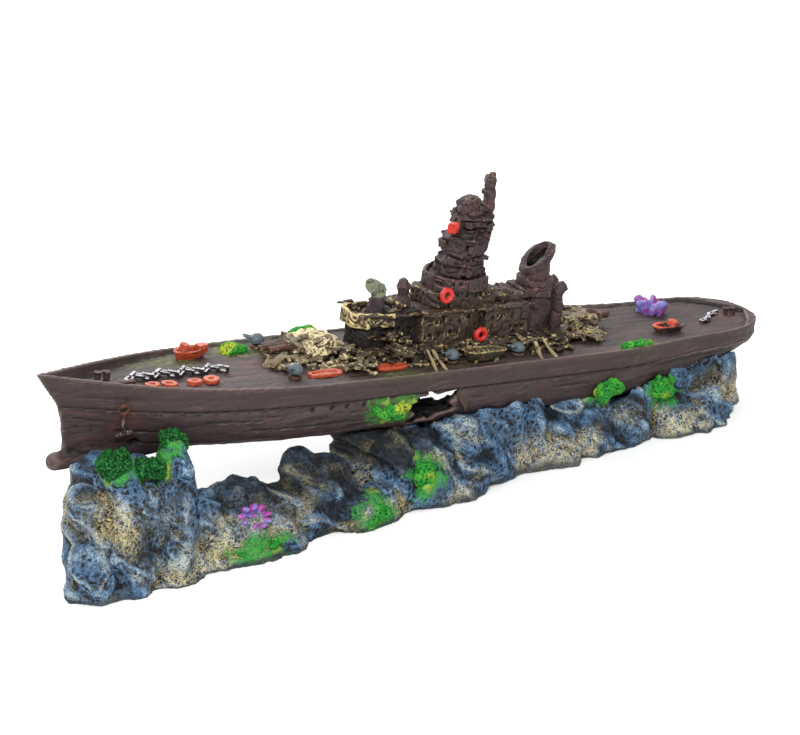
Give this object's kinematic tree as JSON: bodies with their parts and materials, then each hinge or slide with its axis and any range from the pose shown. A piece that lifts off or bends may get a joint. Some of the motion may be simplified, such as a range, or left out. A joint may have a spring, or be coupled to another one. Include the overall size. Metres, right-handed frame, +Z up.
{
  "type": "aquarium bubbling ornament",
  "caption": "Sunken battleship aquarium ornament, broken amidships and bow-up on a painted rock reef; an air stone cartridge feeds bubbles to its open funnel.",
  "frame": {"origin": "middle of the footprint, on the floor under the reef", "axes": "+X from bow to stern along the ship, -Y is the port side that faces the viewer, +Z up"},
  "size_m": [0.3599, 0.096, 0.1232],
  "materials": {
    "reef_rock": "cast resin painted as blue-grey rock, dry-brushed in cream",
    "hull_resin": "cast resin, grey-brown with rust streaks",
    "deck_resin": "cast resin, purplish grey-brown with green stains",
    "structure_resin": "cast resin, dark brown, edges dry-brushed in tan",
    "olive_resin": "cast resin, greenish grey",
    "tan_resin": "cast resin, dry-brushed in cream over brown",
    "gun_brown": "cast resin, rust brown",
    "gun_grey": "cast resin, blue-grey",
    "red_paint": "red paint",
    "orange_paint": "orange paint",
    "boat_paint": "brown paint with tan ribs",
    "chain_white": "white and lilac paint",
    "rust_paint": "rust paint with grey streaks",
    "purple_coral": "lilac and magenta paint",
    "green_moss": "green flock with yellow patches",
    "clear_tube": "clear, polished",
    "black_plastic": "moulded",
    "black_rubber": "moulded",
    "sintered_stone": "porous"
  },
  "bodies": {
    "ornament": {"reef_base": "reef_rock", "ship_hull": "hull_resin", "deck": "deck_resin", "breach_plate": "hull_resin", "gallery_deck": "structure_resin", "forward_house": "structure_resin", "main_house": "structure_resin", "aft_house": "structure_resin", "wing_platform": "structure_resin", "director_tower": "olive_resin", "searchlight": "structure_resin", "bridge_base": "structure_resin", "bridge": "structure_resin", "conning_tower": "structure_resin", "fire_control_top": "structure_resin", "foremast": "structure_resin", "signal_box": "red_paint", "funnel_base": "structure_resin", "funnel": "structure_resin", "ventilator_cowls": "structure_resin", "forward_turret": "tan_resin", "forward_guns": "gun_brown", "forward_wreckage": "tan_resin", "aft_turret": "tan_resin", "aft_guns": "gun_brown", "aft_wreckage": "tan_resin", "gun_shields": "gun_grey", "gun_mounts": "gun_brown", "lifeboat": "boat_paint", "life_buoys": "red_paint", "life_rafts": "orange_paint", "fallen_davits": "tan_resin", "cable_reels": "orange_paint", "wrecked_launch": "orange_paint", "aft_launch": "boat_paint", "fore_chain": "chain_white", "aft_chain": "chain_white", "bollards": "structure_resin", "anchors": "rust_paint", "deck_coral": "purple_coral", "reef_coral": "purple_coral", "deck_moss": "green_moss", "hull_moss": "green_moss", "reef_moss": "green_moss", "riser_tube": "clear_tube", "air_socket": "black_plastic"},
    "cartridge": {"air_inlet": "black_plastic", "inlet_seal": "black_rubber", "air_stone": "sintered_stone"}
  },
  "joints": [
    {"name": "air_cartridge_slide", "type": "slide", "parent": "ornament", "child": "cartridge", "axis": [0, 1, 0], "range_m": [0, 0.06]}
  ]
}
